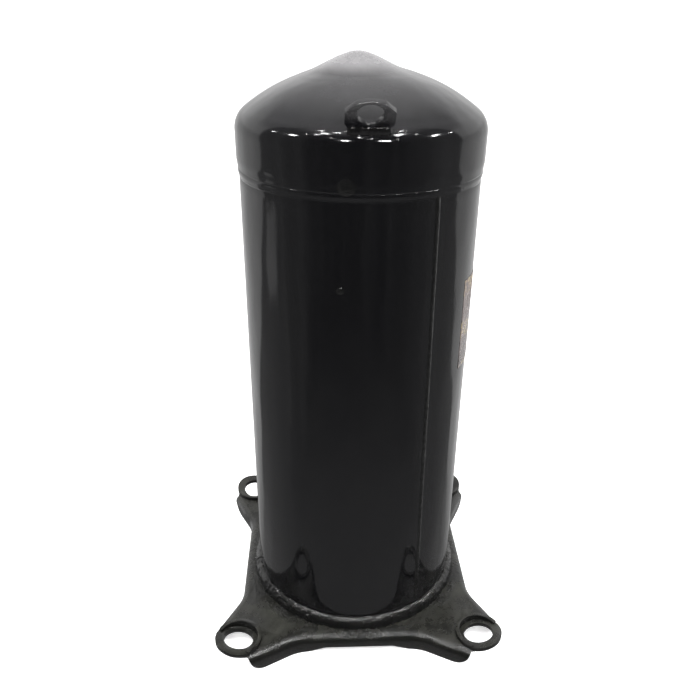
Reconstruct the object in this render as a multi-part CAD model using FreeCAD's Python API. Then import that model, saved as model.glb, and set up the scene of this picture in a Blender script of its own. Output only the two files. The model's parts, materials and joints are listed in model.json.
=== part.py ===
import FreeCAD, Part
import math
import os

V = FreeCAD.Vector
ORIGIN = V(0, 0, 0)
UP = V(0, 0, 1)

# Hermetic scroll compressor, millimetres.
# Origin: on the shell axis, in the plane that the mounting plate's flanges stand on. +Z is up.
# An azimuth is an angle about +Z measured from -Y towards +X, so azimuth 0 faces -Y.

# ---- mounting plate ----
PLATE_TOP = 15.0            # height of the flat top of the plate
PLATE_SHEET = 3.2
PLATE_HALF_WIDTH = 96.0     # to the outer face of a flange, at the middle of a side
PLATE_WAIST = 48.0          # where the straight middle of a side ends
TIP_FAR, TIP_NEAR = 115.2, 84.8   # end of a flange: distance across and along the side
FLANGE_BEND = 7.0
FLANGE_END_ROUND = 14.0     # rounding of a flange's lower corner at its end
WAIST_ROUND = 34.0
FLANGE_ARCH = 4.0           # how much shallower a flange is at the middle of its side
FOOT_PITCH = 190.5
FOOT_HOLE_R = 11.25
FOOT_PAD_R = 18.1
FOOT_SEAT_R = 15.3          # radius of the recess in which a foot pad is pressed
FOOT_TOP = 15.6             # top of a pad at its hole's axis
FOOT_TILT = 14.0            # a pad is bent up towards its corner by this angle
FOOT_WALL_TOP_Z = 18.3      # inside the thickness of the plate
FOOT_WALL_END = 5.0         # the wall ends this far beyond the hole's axis
PLATE_BORE_R = 80.6

# ---- pressure casing ----
SHELL_R = 83.5
SHELL_WALL = 3.5
SHELL_BORE = SHELL_R - SHELL_WALL
CAP_R = 85.0
CAP_WALL = 3.5
CAP_SKIRT_Z = 366.4         # lower edge of the cap's skirt
CAP_TAPER_Z = 374.0         # below this height the skirt is drawn in
CAP_LIP_R = 84.3            # outer radius of the skirt at its lower edge
CAP_KNUCKLE_Z = 391.1
CAP_KNUCKLE_R = 16.2
CAP_CROWN_R = 128.5
NECK_R = CAP_R - CAP_WALL - 0.05
NECK_START_Z, NECK_Z, NECK_TOP_Z = 362.4, 366.2, 375.0
BOSS_X, BOSS_Y = -2.5, 0.0  # the pressed boss on the crown is a little off the axis
BOSS_BASE_R = 23.0
BOSS_RISE = 8.0             # height of its tip above the crown's top
BOSS_TIP_R = 3.2
BOTTOM_R = SHELL_BORE - 0.1
BOTTOM_WALL = 3.2
BOTTOM_LOW_Z = 4.0
BOTTOM_RIM_Z = 36.0
BOTTOM_KNUCKLE_R = 9.0

# ---- lifting lug ----
LUG_LEAN = 49.0             # elevation of the lug's middle line
LUG_HALF_WIDTH = 14.35
LUG_HEIGHT = 23.4
LUG_THICK = 3.2
LUG_HOLE_R = 8.0
LUG_HOLE_UP = 13.8

# ---- scroll set ----
THROW = 3.85                # orbit radius
WRAP_PITCH = 14.0
WRAP_WALL = 2.6
WRAP_START = 1.15 * math.pi
WRAP_END_ORBITING = 7.0 * math.pi
WRAP_END_FIXED = 8.0 * math.pi
THRUST_Z = 296.0            # top of the main frame's thrust face
RUN_GAP = 0.4               # axial room between the scrolls, and under the orbiting one
ORBIT_PLATE_R = 64.0
ORBIT_PLATE_T = 8.0
FIXED_PLATE_Z = 330.0       # underside of the fixed scroll's plate
FIXED_PLATE_T = 14.0
RIM_BORE_R = 68.5           # bore of the frame's rim and of the fixed scroll's skirt
RIM_TOP_Z = 308.0
FIXED_R = 78.0
SEAL_STRIP_W, SEAL_STRIP_T = 1.2, 1.1

# ---- Oldham ring ----
OLDHAM_IN, OLDHAM_OUT = 54.4, 63.4
OLDHAM_Z = (288.3, 295.7)
KEY_W, KEY_L, KEY_H = 9.9, 6.6, 4.8
KEY_R = 58.9
KEY_GAP = 0.1               # total side clearance of a key in its slot

# ---- shaft and bearings ----
SHAFT_R = 12.5
LOWER_JOURNAL_R = 9.5
MAIN_JOURNAL_R = 15.0
PIN_R = 9.0
PIN_BUSH_R = 11.5
SHAFT_LOW_Z, SHOULDER_Z = 55.0, 87.6
MAIN_LOW_Z, MAIN_TOP_Z = 238.0, 282.0
PIN_TOP_Z = 295.2
OIL_BORE_R = 2.5
PLUG_R = 2.4
PLUG_Z = (286.0, 294.6)
HUB_R, HUB_BORE_R = 17.5, 13.5
HUB_LOW_Z = 283.0
POCKET_R = 24.0

# ---- motor ----
CORE_Z = (118.0, 198.0)
CORE_R = 79.7
CORE_BORE_R = 41.6
SLOTS = 24
SLOT_IN, SLOT_OUT = 44.0, 62.0
SLOT_W_IN, SLOT_W_OUT = 5.0, 9.2
TURNS_IN, TURNS_OUT = 46.0, 70.0
TURNS_H = 23.5
ROTOR_R = 41.0

# ---- connections on the back ----
TERMINAL_Z = 236.0
TERMINAL_AZ = 180.0
FENCE_R, FENCE_WALL, FENCE_FACE = 35.0, 2.0, 101.0
COVER_R, COVER_WALL, COVER_FACE = 38.5, 2.4, 112.0
CABLE_R, CABLE_BOSS_R, CABLE_Y = 8.0, 10.6, 100.0
SUCTION_AZ, SUCTION_Z, SUCTION_TIP = 138.0, 246.0, 118.0
SUCTION_OUT_R, SUCTION_SOCKET_R, SUCTION_SOCKET_L, SUCTION_IN_R = 11.0, 9.6, 20.0, 8.4
DISCHARGE_AZ, DISCHARGE_Z, DISCHARGE_TIP = 212.0, 384.0, 112.0
DISCHARGE_OUT_R, DISCHARGE_SOCKET_R, DISCHARGE_SOCKET_L, DISCHARGE_IN_R = 7.4, 6.4, 14.0, 5.2


# ---------------------------------------------------------------- helpers

def cylinder(radius, z0, z1, x=0.0, y=0.0):
    return Part.makeCylinder(radius, z1 - z0, V(x, y, z0))


def ring(outer, inner, z0, z1, x=0.0, y=0.0):
    return cylinder(outer, z0, z1, x, y).cut(cylinder(inner, z0 - 1, z1 + 1, x, y))


def box(x0, x1, y0, y1, z0, z1):
    return Part.makeBox(x1 - x0, y1 - y0, z1 - z0, V(x0, y0, z0))


def line(a, b):
    return Part.LineSegment(V(*a), V(*b)).toShape()


def arc(a, b, c):
    return Part.Arc(V(*a), V(*b), V(*c)).toShape()


def revolve(points):
    """Solid of revolution about Z of a closed outline of (radius, height) points."""
    corners = [V(r, 0, z) for r, z in points]
    face = Part.Face(Part.makePolygon(corners + corners[:1]))
    return face.revolve(ORIGIN, UP, 360)


def revolve_edges(edges):
    return Part.Face(Part.Wire(edges)).revolve(ORIGIN, UP, 360)


def prism(points, z0, z1):
    corners = [V(x, y, z0) for x, y in points]
    return Part.Face(Part.makePolygon(corners + corners[:1])).extrude(V(0, 0, z1 - z0))


def turned(shape, azimuth):
    """A copy of a feature built facing -Y, turned to face an azimuth."""
    copy = shape.copy()
    copy.rotate(ORIGIN, UP, azimuth)
    return copy


def around(shape, count, start=0.0):
    return [turned(shape, start + 360.0 * i / count) for i in range(count)]


def along_y(radius, y0, y1, z, x=0.0):
    """Cylinder along -Y, from y = -y0 out to y = -y1."""
    return Part.makeCylinder(radius, y1 - y0, V(x, -y0, z), V(0, -1, 0))


def fused(shapes):
    return shapes[0].multiFuse(shapes[1:]).removeSplitter()


def group(shapes):
    return Part.makeCompound(shapes)


def dome(radius, knuckle, crown, z_low, z_knuckle, boss_drop):
    """Closed solid under a torispherical cap, with its pressed boss."""
    centre_r = radius - knuckle
    centre_z = z_knuckle - math.sqrt((crown - knuckle) ** 2 - centre_r ** 2)
    top = centre_z + crown
    meet = math.atan2(z_knuckle - centre_z, centre_r)
    half = meet / 2
    mid = (meet + math.pi / 2) / 2
    end = (crown * math.cos(meet), 0, centre_z + crown * math.sin(meet))
    edges = [
        line((0, 0, z_low), (radius, 0, z_low)),
        line((radius, 0, z_low), (radius, 0, z_knuckle)),
        arc((radius, 0, z_knuckle),
            (centre_r + knuckle * math.cos(half), 0, z_knuckle + knuckle * math.sin(half)), end),
        arc(end, (crown * math.cos(mid), 0, centre_z + crown * math.sin(mid)), (0, 0, top)),
        line((0, 0, top), (0, 0, z_low)),
    ]
    base_z = centre_z + math.sqrt(crown ** 2 - BOSS_BASE_R ** 2) - boss_drop
    cone = Part.makeCone(BOSS_BASE_R + 1.5, BOSS_TIP_R, top + BOSS_RISE - boss_drop - base_z + 1.0,
                         V(BOSS_X, BOSS_Y, base_z - 1.0))
    tip = [e for e in cone.Edges if e.BoundBox.ZMin > base_z + 1.0]
    cone = cone.makeFillet(BOSS_TIP_R - 0.4, tip)
    return revolve_edges(edges).fuse(cone).removeSplitter()


# ---------------------------------------------------------------- casing

def plate_outline(offset, reach):
    """Outline of the plate's four flanged sides, moved inwards by offset; the corners run
    out along the flanges by reach."""
    run_x, run_y = TIP_FAR - PLATE_HALF_WIDTH, TIP_NEAR - PLATE_WAIST
    length = math.hypot(run_x, run_y)
    slant = math.tan(math.atan2(run_x, run_y) / 2)
    waist = PLATE_WAIST + offset * slant
    across = PLATE_HALF_WIDTH - offset
    tip_across = TIP_FAR - offset * run_y / length + reach * run_x / length
    tip_along = TIP_NEAR + offset * run_x / length + reach * run_y / length
    side = [(-tip_along, -tip_across), (-waist, -across), (waist, -across), (tip_along, -tip_across)]
    points = []
    for quarter in range(4):
        angle = math.pi / 2 * quarter
        for x, y in side:
            points.append((x * math.cos(angle) - y * math.sin(angle),
                           x * math.sin(angle) + y * math.cos(angle)))
    return points


def waist_edges(solid, across, low_z, high_z):
    """Upright edges at the ends of the straight middle of each side."""
    found = []
    for edge in solid.Edges:
        b = edge.BoundBox
        upright = b.XLength < 0.01 and b.YLength < 0.01 and b.ZLength > (high_z - low_z) * 0.9
        if upright and abs(max(abs(b.XMin), abs(b.YMin)) - across) < 0.1:
            found.append(edge)
    return found


def side_edges(solid, top, reach):
    """Edges of the solid's top face that lie along the four sides, without those at the corners."""
    corner = TIP_FAR + TIP_NEAR + reach - 0.5
    found = []
    for edge in solid.Edges:
        middle = edge.valueAt((edge.FirstParameter + edge.LastParameter) / 2)
        if edge.BoundBox.ZMin > top - 0.01 and abs(middle.x) + abs(middle.y) < corner:
            found.append(edge)
    return found


def flange_end_trim():
    """What the rounded lower corner at one end of a flange leaves out."""
    run_x, run_y = TIP_NEAR - PLATE_WAIST, PLATE_HALF_WIDTH - TIP_FAR
    length = math.hypot(run_x, run_y)
    r = FLANGE_END_ROUND
    diagonal = r * (1 - math.sqrt(0.5))
    edges = [
        arc((length - r, 0, 0), (length - diagonal, 0, diagonal), (length, 0, r)),
        line((length, 0, r), (length + 8, 0, r)),
        line((length + 8, 0, r), (length + 8, 0, -2)),
        line((length + 8, 0, -2), (length - r, 0, -2)),
        line((length - r, 0, -2), (length - r, 0, 0)),
    ]
    trim = Part.Face(Part.Wire(edges)).extrude(V(0, PLATE_SHEET + 6, 0))
    trim.translate(V(0, -3, 0))
    trim.rotate(ORIGIN, UP, math.degrees(math.atan2(run_y, run_x)))
    trim.translate(V(PLATE_WAIST, -PLATE_HALF_WIDTH, 0))
    return trim


def foot_pad(x, y):
    """Round pad, bent up towards the plate's corner, with the wall of the recess behind it."""
    span = 2 * FOOT_PAD_R
    sheet = box(-span, span, -span, span, -PLATE_SHEET, 0)
    above = box(-span, span, -span, span, -PLATE_SHEET / 2, span)
    for slab in (sheet, above):
        slab.rotate(ORIGIN, V(0, 1, 0), -FOOT_TILT)
    pad = cylinder(FOOT_PAD_R, -span, span).common(sheet)
    wall = ring(FOOT_PAD_R, FOOT_SEAT_R, -span, FOOT_WALL_TOP_Z - FOOT_TOP)
    wall = wall.common(box(-span, FOOT_WALL_END, -span, span, -span, span)).common(above)
    pad = pad.fuse(wall)
    pad.rotate(ORIGIN, UP, math.degrees(math.atan2(y, x)))
    pad.translate(V(x, y, FOOT_TOP))
    return pad


def base_plate():
    block = prism(plate_outline(0, 0), 0, PLATE_TOP)
    block = block.makeFillet(WAIST_ROUND, waist_edges(block, PLATE_HALF_WIDTH, 0, PLATE_TOP))
    block = block.makeFillet(FLANGE_BEND, side_edges(block, PLATE_TOP, 0))
    inside_across = PLATE_HALF_WIDTH - PLATE_SHEET
    cavity_top = PLATE_TOP - PLATE_SHEET
    cavity = prism(plate_outline(PLATE_SHEET, 12), -1, cavity_top)
    cavity = cavity.makeFillet(WAIST_ROUND + PLATE_SHEET,
                               waist_edges(cavity, inside_across, -1, cavity_top))
    cavity = cavity.makeFillet(FLANGE_BEND - PLATE_SHEET, side_edges(cavity, cavity_top, 12))
    plate = block.cut(cavity)
    arch_profile = [V(-44, -100, -1), V(-27, -100, FLANGE_ARCH), V(27, -100, FLANGE_ARCH), V(44, -100, -1)]
    arch = Part.Face(Part.makePolygon(arch_profile + arch_profile[:1])).extrude(V(0, 30, 0))
    trim = flange_end_trim()
    trims = around(trim, 4) + around(trim.mirror(ORIGIN, V(1, 0, 0)), 4)
    plate = plate.cut(group(around(arch, 4))).cut(group(trims))
    half = FOOT_PITCH / 2
    corners = [(x, y) for x in (-half, half) for y in (-half, half)]
    seats = [cylinder(FOOT_SEAT_R, 0, PLATE_TOP + 1, x, y) for x, y in corners]
    pads = [foot_pad(x, y) for x, y in corners]
    holes = [cylinder(FOOT_HOLE_R, 0, PLATE_TOP + 10, x, y) for x, y in corners]
    plate = fused([plate.cut(group(seats))] + pads).cut(group(holes))
    return plate.cut(cylinder(PLATE_BORE_R, -1, PLATE_TOP + 1)).removeSplitter()


def bottom_cap():
    def dish(radius, knuckle, low, top):
        return revolve_edges([
            line((0, 0, top), (0, 0, low)),
            line((0, 0, low), (radius - knuckle, 0, low)),
            arc((radius - knuckle, 0, low),
                (radius - knuckle + knuckle * math.sin(math.pi / 4), 0,
                 low + knuckle - knuckle * math.cos(math.pi / 4)),
                (radius, 0, low + knuckle)),
            line((radius, 0, low + knuckle), (radius, 0, top)),
            line((radius, 0, top), (0, 0, top)),
        ])
    outer = dish(BOTTOM_R, BOTTOM_KNUCKLE_R, BOTTOM_LOW_Z, BOTTOM_RIM_Z)
    inner = dish(BOTTOM_R - BOTTOM_WALL, BOTTOM_KNUCKLE_R - BOTTOM_WALL,
                 BOTTOM_LOW_Z + BOTTOM_WALL, BOTTOM_RIM_Z + 1)
    return outer.cut(inner)


def shell_body():
    shell = revolve([
        (SHELL_R, PLATE_TOP), (SHELL_R, NECK_START_Z), (NECK_R, NECK_Z), (NECK_R, NECK_TOP_Z),
        (NECK_R - SHELL_WALL, NECK_TOP_Z), (NECK_R - SHELL_WALL, NECK_Z + 1),
        (SHELL_BORE, NECK_START_Z + 0.6), (SHELL_BORE, PLATE_TOP)])
    suction_hole = turned(along_y(SUCTION_OUT_R + 0.05, 70, 95, SUCTION_Z), SUCTION_AZ)
    terminal_hole = turned(along_y(17.1, 70, 95, TERMINAL_Z), TERMINAL_AZ)
    return shell.cut(group([suction_hole, terminal_hole]))


def cap_outside():
    taper = revolve([(CAP_R, CAP_TAPER_Z), (CAP_R + 1, CAP_TAPER_Z), (CAP_R + 1, CAP_SKIRT_Z - 1),
                     (CAP_LIP_R, CAP_SKIRT_Z - 1), (CAP_LIP_R, CAP_SKIRT_Z)])
    return dome(CAP_R, CAP_KNUCKLE_R, CAP_CROWN_R, CAP_SKIRT_Z, CAP_KNUCKLE_Z, 0).cut(taper)


def top_cap():
    inside = dome(CAP_R - CAP_WALL, CAP_KNUCKLE_R - CAP_WALL, CAP_CROWN_R - CAP_WALL,
                  CAP_SKIRT_Z - 1, CAP_KNUCKLE_Z, CAP_WALL)
    hole = turned(along_y(DISCHARGE_OUT_R + 0.05, 70, 95, DISCHARGE_Z), DISCHARGE_AZ)
    return cap_outside().cut(inside).cut(hole)


def cap_weld():
    return revolve([(NECK_R + 0.15, CAP_SKIRT_Z - 0.05), (CAP_LIP_R, CAP_SKIRT_Z - 0.05),
                    (CAP_LIP_R, CAP_SKIRT_Z - 1.4), (SHELL_R + 0.4, NECK_START_Z - 0.4),
                    (SHELL_R + 0.05, NECK_START_Z - 1.6), (SHELL_R + 0.1, NECK_START_Z + 0.1)])


def base_weld():
    return revolve([(SHELL_R + 0.05, PLATE_TOP + 0.02), (SHELL_R + 5.2, PLATE_TOP + 0.02),
                    (SHELL_R + 4.6, PLATE_TOP + 2.4), (SHELL_R + 3.0, PLATE_TOP + 4.8),
                    (SHELL_R + 1.2, PLATE_TOP + 7.0), (SHELL_R + 0.05, PLATE_TOP + 8.4)])


def bottom_weld():
    """Fillet under the plate that joins it to the bottom cap."""
    low = PLATE_TOP - PLATE_SHEET - 0.02
    return revolve([(BOTTOM_R + 0.05, low), (BOTTOM_R + 4.0, low), (BOTTOM_R + 0.05, low - 3.0)])


def plug_welds():
    """Tack through the cap's skirt and the plug weld that holds the main frame to the shell."""
    def button(radius, surface_r, proud, z, azimuth):
        sphere_r = (radius ** 2 + proud ** 2) / (2 * proud)
        ball = Part.makeSphere(sphere_r, V(0, -(surface_r + proud - sphere_r), z))
        outside = cylinder(surface_r + 20, z - 15, z + 15).cut(cylinder(surface_r + 0.03, z - 16, z + 16))
        return turned(ball.common(outside), azimuth)
    return group([button(5.2, CAP_R, 1.0, 370.4, -8.8),
                  button(2.6, SHELL_R, 0.8, 304.4, -11.2),
                  button(2.6, SHELL_R, 0.8, 304.4, 108.8),
                  button(2.6, SHELL_R, 0.8, 304.4, 228.8)])


def lug_frame(shape):
    """Leans a shape built upright at the origin onto the cap's knuckle."""
    shape.rotate(ORIGIN, V(1, 0, 0), 90 - LUG_LEAN)
    lean = math.radians(LUG_LEAN)
    centre_r = CAP_R - CAP_KNUCKLE_R
    shape.translate(V(0, -(centre_r + CAP_KNUCKLE_R * math.cos(lean)),
                      CAP_KNUCKLE_Z + CAP_KNUCKLE_R * math.sin(lean)))
    return shape


def lug_blank():
    half = LUG_THICK / 2
    w = LUG_HALF_WIDTH
    root_w, top_w, shoulder = w - 3.4, w - 5.8, LUG_HEIGHT - 2.0
    rise, chamfer = 6.0, 15.4
    edges = [
        line((-root_w, half, -4), (root_w, half, -4)),
        line((root_w, half, -4), (root_w, half, 0)),
        line((root_w, half, 0), (w, half, rise)),
        line((w, half, rise), (w, half, chamfer)),
        line((w, half, chamfer), (top_w, half, shoulder)),
        arc((top_w, half, shoulder), (0, half, LUG_HEIGHT), (-top_w, half, shoulder)),
        line((-top_w, half, shoulder), (-w, half, chamfer)),
        line((-w, half, chamfer), (-w, half, rise)),
        line((-w, half, rise), (-root_w, half, 0)),
        line((-root_w, half, 0), (-root_w, half, -4)),
    ]
    return Part.Face(Part.Wire(edges)).extrude(V(0, -LUG_THICK, 0))


def lifting_lug():
    hole = Part.makeCylinder(LUG_HOLE_R, 20, V(0, -10, LUG_HOLE_UP), V(0, 1, 0))
    return lug_frame(lug_blank().cut(hole)).cut(cap_outside())


def lug_weld():
    bead = Part.makeCylinder(4.2, 2 * LUG_HALF_WIDTH - 3, V(-LUG_HALF_WIDTH + 1.5, 0, -0.6), V(1, 0, 0))
    round_edges = [e for e in bead.Edges if e.BoundBox.XLength < 0.01]
    bead = bead.makeFillet(2.0, round_edges)
    return lug_frame(bead.cut(lug_blank())).cut(cap_outside())


# ---------------------------------------------------------------- motor and shaft

def slot_shape(trim):
    half_in, half_out = SLOT_W_IN / 2 - trim, SLOT_W_OUT / 2 - trim
    return [(-half_in, -SLOT_IN - trim), (half_in, -SLOT_IN - trim),
            (half_out, -SLOT_OUT + trim), (-half_out, -SLOT_OUT + trim)]


def stator_core():
    core = ring(CORE_R, CORE_BORE_R, *CORE_Z)
    slot = prism(slot_shape(0), CORE_Z[0] - 1, CORE_Z[1] + 1)
    mouth = box(-1.3, 1.3, -SLOT_IN - 0.5, -CORE_BORE_R + 2, CORE_Z[0] - 1, CORE_Z[1] + 1)
    flat = box(-24, 24, -CORE_R - 5, -CORE_R + 3.0, CORE_Z[0] - 1, CORE_Z[1] + 1)
    core = core.cut(group(around(slot, SLOTS)))
    core = core.cut(group(around(mouth, SLOTS)))
    return core.cut(group(around(flat, 4, 45)))


def stator_winding():
    bars = around(prism(slot_shape(0.3), CORE_Z[0] - 1.5, CORE_Z[1] + 1.5), SLOTS)

    def turns(z0, z1):
        block = ring(TURNS_OUT, TURNS_IN, z0, z1)
        rims = [e for e in block.Edges if e.BoundBox.ZLength < 0.01]
        return block.makeFillet(5.0, rims)
    return fused([turns(CORE_Z[1] + 0.5, CORE_Z[1] + 0.5 + TURNS_H),
                  turns(CORE_Z[0] - 0.5 - TURNS_H, CORE_Z[0] - 0.5)] + bars)


def rotor_core():
    return ring(ROTOR_R, SHAFT_R + 0.02, *CORE_Z)


def rotor_end_rings():
    upper = ring(39.5, 25.0, CORE_Z[1] + 0.02, CORE_Z[1] + 9)
    lower = ring(39.5, 25.0, CORE_Z[0] - 9, CORE_Z[0] - 0.02)
    return group([upper, lower])


def counterweight(z0, z1, side):
    """Half ring on one side of the shaft, held by a full collar."""
    weight = ring(38.5, 22.0, z0, z1)
    keep = box(-40, 40, 0, 40, z0 - 1, z1 + 1) if side > 0 else box(-40, 40, -40, 0, z0 - 1, z1 + 1)
    return weight.common(keep)


def lower_counterweight():
    return counterweight(CORE_Z[0] - 21, CORE_Z[0] - 9.02, 1)


def upper_counterweight():
    z0 = CORE_Z[1] + 12
    collar = ring(18.0, SHAFT_R + 0.02, z0, z0 + 16)
    web = box(-14, 14, -30, -SHAFT_R - 2, z0, z0 + 16)
    return fused([collar, web.cut(cylinder(SHAFT_R + 0.02, z0 - 1, z0 + 17)), counterweight(z0, z0 + 16, -1)])


def crankshaft():
    shaft = fused([
        cylinder(LOWER_JOURNAL_R, SHAFT_LOW_Z, SHOULDER_Z),
        cylinder(SHAFT_R, SHOULDER_Z, MAIN_LOW_Z),
        cylinder(MAIN_JOURNAL_R, MAIN_LOW_Z, MAIN_TOP_Z),
        cylinder(PIN_R, MAIN_TOP_Z, PIN_TOP_Z, 0, THROW)])
    gallery = cylinder(OIL_BORE_R, SHAFT_LOW_Z - 1, PLUG_Z[0] - 4, 0, 2.2)
    plug_bore = cylinder(PLUG_R + 0.05, PLUG_Z[0] - 6, PIN_TOP_Z + 1, 0, THROW / 2)
    lower_feed = along_y(1.5, -30, 30, SHAFT_LOW_Z + 16)
    main_feed = along_y(2.0, -30, 30, MAIN_LOW_Z + 22)
    return shaft.cut(gallery).cut(plug_bore).cut(lower_feed).cut(main_feed)


def oil_gallery_plug():
    return cylinder(PLUG_R, PLUG_Z[0], PLUG_Z[1], 0, THROW / 2)


def drive_bush():
    return ring(PIN_BUSH_R, PIN_R + 0.02, MAIN_TOP_Z + 1.5, PIN_TOP_Z - 0.4, 0, THROW)


def oil_pickup():
    body = revolve([(3.4, SHAFT_LOW_Z - 0.02), (8.6, SHAFT_LOW_Z - 0.02), (8.6, SHAFT_LOW_Z - 6),
                    (6.2, SHAFT_LOW_Z - 9), (4.4, 20.0), (3.0, 20.0), (4.6, SHAFT_LOW_Z - 9),
                    (6.9, SHAFT_LOW_Z - 6)])
    return body


def lower_bearing_bracket():
    hub = cylinder(21, 58, 85.8)
    arm = box(-9, 9, -78, -10, 66, 76)
    pad = ring(79.8, 75.0, 58, 84).common(box(-16, 16, -90, -60, 50, 90))
    bracket = fused([hub] + around(arm, 4, 45) + around(pad, 4, 45))
    return bracket.cut(cylinder(12.5, 50, 90))


def lower_bearing():
    return ring(12.45, LOWER_JOURNAL_R + 0.03, 60, 85.0)


def thrust_washer():
    return ring(16.0, LOWER_JOURNAL_R + 0.2, 85.85, SHOULDER_Z - 0.05)


def main_frame():
    frame = revolve([
        (19.05, 240), (30, 240), (30, 262), (46, 270), (67, 270), (79.8, 262), (79.8, RIM_TOP_Z),
        (RIM_BORE_R, RIM_TOP_Z), (RIM_BORE_R, 288), (50, 288), (50, THRUST_Z), (28, THRUST_Z),
        (POCKET_R, 293), (POCKET_R, MAIN_TOP_Z - 0.2), (19.05, MAIN_TOP_Z - 0.2)])
    slot_half = KEY_L / 2 + THROW + 0.6
    slot_width = KEY_W / 2 + KEY_GAP / 2
    slots = [box(s * KEY_R - slot_half, s * KEY_R + slot_half, -slot_width, slot_width,
                 OLDHAM_Z[0] - KEY_H - 0.8, 289) for s in (-1, 1)]
    oil_return = cylinder(4, 255, 300, 0, -40)
    window = box(-17, 17, -90, -60, 274, 286)
    bolt_hole = cylinder(2.6, 276, RIM_TOP_Z + 1, 0, -73.2)
    return frame.cut(group(slots)).cut(group(around(oil_return, 3))).cut(
        group(around(window, 3, 30))).cut(group(around(bolt_hole, 6, 0)))


def main_bearing():
    return ring(19.0, MAIN_JOURNAL_R + 0.03, 241, MAIN_TOP_Z - 1)


# ---------------------------------------------------------------- scroll set

def involute(angle, offset):
    """Point on an involute of the wrap's base circle, moved along its normal by offset."""
    base = WRAP_PITCH / (2 * math.pi)
    return V(base * math.cos(angle) + (base * angle + offset) * math.sin(angle),
             base * math.sin(angle) - (base * angle + offset) * math.cos(angle), 0)


def wrap(start, end, thickness, z0, z1):
    """Spiral wall of constant thickness between two involute angles."""
    steps = int((end - start) / 0.3)
    angles = [start + (end - start) * i / steps for i in range(steps + 1)]
    walls = []
    for offset in (thickness / 2, -thickness / 2):
        curve = Part.BSplineCurve()
        curve.interpolate([involute(a, offset) for a in angles])
        walls.append(curve.toShape())

    def nose(angle, ahead):
        tangent = (involute(angle + 0.01, 0) - involute(angle, 0)).normalize()
        return Part.Arc(involute(angle, thickness / 2),
                        involute(angle, 0) + tangent * (ahead * thickness / 2),
                        involute(angle, -thickness / 2)).toShape()
    outline = Part.Wire(Part.__sortEdges__([walls[0], nose(end, 1), walls[1], nose(start, -1)]))
    solid = Part.Face(outline).extrude(V(0, 0, z1 - z0))
    solid.translate(V(0, 0, z0))
    return solid


def orbit_place(shape):
    """Half a turn from the fixed scroll, then out by the throw."""
    shape.rotate(ORIGIN, UP, 180)
    shape.translate(V(0, THROW, 0))
    return shape


ORBIT_TOP = THRUST_Z + RUN_GAP + ORBIT_PLATE_T


def orbiting_scroll():
    low = THRUST_Z + RUN_GAP
    plate = cylinder(ORBIT_PLATE_R, low, ORBIT_TOP)
    hub = cylinder(HUB_R, HUB_LOW_Z, low + 1)
    wall = wrap(WRAP_START, WRAP_END_ORBITING, WRAP_WALL, ORBIT_TOP - 0.5, FIXED_PLATE_Z - RUN_GAP)
    scroll = fused([plate, hub, wall])
    slot_half = KEY_L / 2 + THROW + 0.6
    slot_width = KEY_W / 2 + KEY_GAP / 2
    slots = [box(-slot_width, slot_width, s * KEY_R - slot_half, s * KEY_R + slot_half + (2 if s > 0 else 0),
                 low - 1, OLDHAM_Z[1] + KEY_H + 0.8) for s in (-1, 1)]
    groove = wrap(WRAP_START + 0.5, WRAP_END_ORBITING - 0.5, SEAL_STRIP_W + 0.1,
                  FIXED_PLATE_Z - RUN_GAP - SEAL_STRIP_T, FIXED_PLATE_Z)
    bore = cylinder(HUB_BORE_R, HUB_LOW_Z - 1, low + 1.5)
    scroll = scroll.cut(group(slots)).cut(groove).cut(bore)
    return orbit_place(scroll)


def orbiting_tip_seal():
    top = FIXED_PLATE_Z - RUN_GAP
    return orbit_place(wrap(WRAP_START + 0.6, WRAP_END_ORBITING - 0.6, SEAL_STRIP_W,
                            top - SEAL_STRIP_T + 0.05, top))


def orbiting_bearing():
    return ring(HUB_BORE_R - 0.02, PIN_BUSH_R + 0.03, HUB_LOW_Z, PIN_TOP_Z - 0.2, 0, THROW)


def fixed_scroll():
    top = FIXED_PLATE_Z + FIXED_PLATE_T
    tip = ORBIT_TOP + RUN_GAP
    plate = cylinder(FIXED_R, FIXED_PLATE_Z, top)
    skirt = ring(FIXED_R, RIM_BORE_R, RIM_TOP_Z + 0.02, FIXED_PLATE_Z + 0.5)
    wall = wrap(WRAP_START, WRAP_END_FIXED, WRAP_WALL, tip, FIXED_PLATE_Z + 0.5)
    scroll = fused([plate, skirt, wall])
    groove = wrap(WRAP_START + 0.5, WRAP_END_FIXED - 0.5, SEAL_STRIP_W + 0.1, tip - 1,
                  tip + SEAL_STRIP_T + 0.1)
    port = cylinder(5.0, FIXED_PLATE_Z - 1, top + 1)
    pocket = cylinder(11.0, 338, top + 1)
    seal_groove = ring(40.0, 24.0, 336, top + 1)
    window = box(-20, 20, -90, -60, 313, 327)
    bolt_hole = cylinder(4.35, 300, top + 1, 0, -73.2)
    scroll = scroll.cut(groove).cut(port).cut(pocket).cut(seal_groove)
    return scroll.cut(group(around(window, 3, 30))).cut(group(around(bolt_hole, 6, 0)))


def fixed_tip_seal():
    tip = ORBIT_TOP + RUN_GAP
    return wrap(WRAP_START + 0.6, WRAP_END_FIXED - 0.6, SEAL_STRIP_W, tip, tip + SEAL_STRIP_T - 0.05)


def scroll_bolts():
    """Shoulder bolts that guide the fixed scroll and limit its lift."""
    head_z = FIXED_PLATE_Z + FIXED_PLATE_T + 1.0
    shank = cylinder(2.55, 280, head_z, 0, -73.2)
    head = cylinder(4.6, head_z, head_z + 5.5, 0, -73.2)
    socket = cylinder(2.0, head_z + 2.5, head_z + 6, 0, -73.2)
    return group(around(fused([shank, head]).cut(socket), 6, 0))


def guide_sleeves():
    sleeve = ring(4.25, 2.65, RIM_TOP_Z + 0.02, FIXED_PLATE_Z + FIXED_PLATE_T + 0.98, 0, -73.2)
    return group(around(sleeve, 6, 0))


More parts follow.
